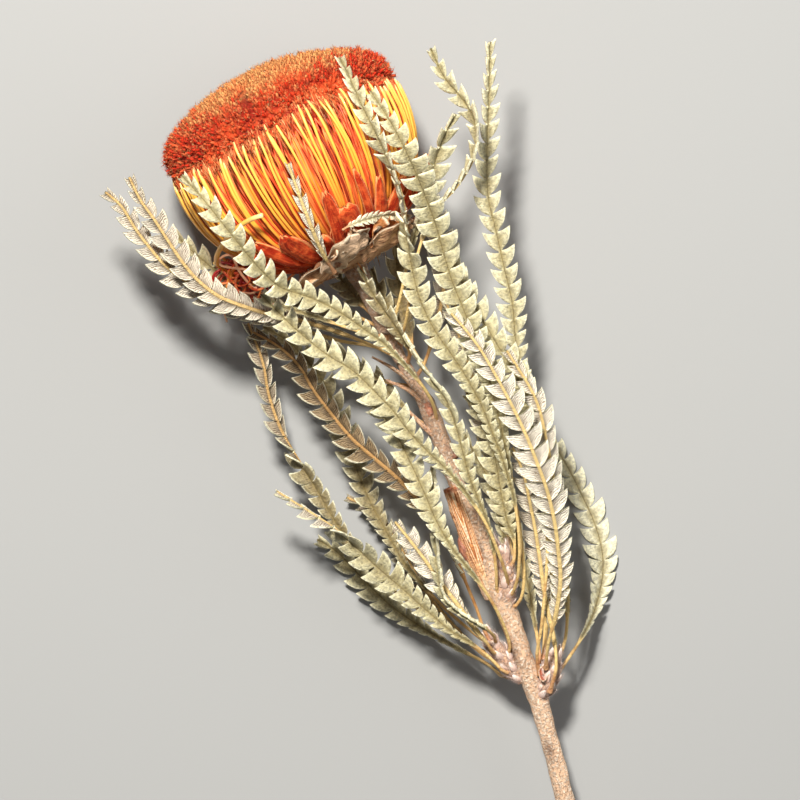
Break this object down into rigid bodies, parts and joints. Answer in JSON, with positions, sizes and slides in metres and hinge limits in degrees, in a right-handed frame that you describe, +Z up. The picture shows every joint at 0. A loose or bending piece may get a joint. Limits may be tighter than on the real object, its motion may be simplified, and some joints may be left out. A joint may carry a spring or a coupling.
{
  "type": "dried banksia flower",
  "caption": "Dried, dyed banksia bloom with a domed woolly red and yellow head on a woody stem with long saw-toothed leaves, lying down.",
  "frame": {"origin": "centre of the bounding box in X and Y, at the surface that the cut stem lies on", "axes": "+Y along the stem from its cut end towards the flower head, +Z up from the surface, +X to the right seen from above"},
  "size_m": [0.1096, 0.2976, 0.0726],
  "materials": {
    "bark": "rough tan-brown bark, matte",
    "leaf_green": "dry sage-green upper side and silvery white underside, matte",
    "perianth_wool": "woolly red with an orange middle, matte",
    "style_yellow": "smooth golden yellow threads, satin",
    "bract_rust": "velvety rust red, matte",
    "dry_bract": "dry grey-brown, crinkled, matte"
  },
  "bodies": {
    "root": {"collar_bracts": "dry_bract", "involucral_bracts": "bract_rust", "leaf_head_leaf": "leaf_green", "leaf_left_shoot_1": "leaf_green", "leaf_left_shoot_2": "leaf_green", "leaf_left_shoot_3": "leaf_green", "leaf_left_shoot_4": "leaf_green", "leaf_left_shoot_5": "leaf_green", "leaf_left_shoot_6": "leaf_green", "leaf_left_shoot_7": "leaf_green", "leaf_left_shoot_8": "leaf_green", "leaf_left_shoot_9": "leaf_green", "leaf_middle_shoot_1": "leaf_green", "leaf_middle_shoot_2": "leaf_green", "leaf_middle_shoot_3": "leaf_green", "leaf_middle_shoot_4": "leaf_green", "leaf_middle_shoot_5": "leaf_green", "leaf_middle_shoot_6": "leaf_green", "leaf_middle_shoot_7": "leaf_green", "leaf_right_shoot_1": "leaf_green", "leaf_right_shoot_2": "leaf_green", "leaf_right_shoot_3": "leaf_green", "leaf_right_shoot_4": "leaf_green", "leaf_right_shoot_5": "leaf_green", "leaf_right_shoot_6": "leaf_green", "leaf_right_shoot_7": "leaf_green", "leaf_under_stem_1": "leaf_green", "leaf_under_stem_2": "leaf_green", "leaf_under_stem_3": "leaf_green", "leaf_under_stem_4": "leaf_green", "leaf_under_stem_5": "leaf_green", "leaf_upper_stem_1": "leaf_green", "leaf_upper_stem_10": "leaf_green", "leaf_upper_stem_11": "leaf_green", "leaf_upper_stem_2": "leaf_green", "leaf_upper_stem_3": "leaf_green", "leaf_upper_stem_4": "leaf_green", "leaf_upper_stem_5": "leaf_green", "leaf_upper_stem_6": "leaf_green", "leaf_upper_stem_7": "leaf_green", "leaf_upper_stem_8": "leaf_green", "leaf_upper_stem_9": "leaf_green", "perianths": "perianth_wool", "stem": "bark", "styles": "style_yellow"}
  },
  "joints": []
}
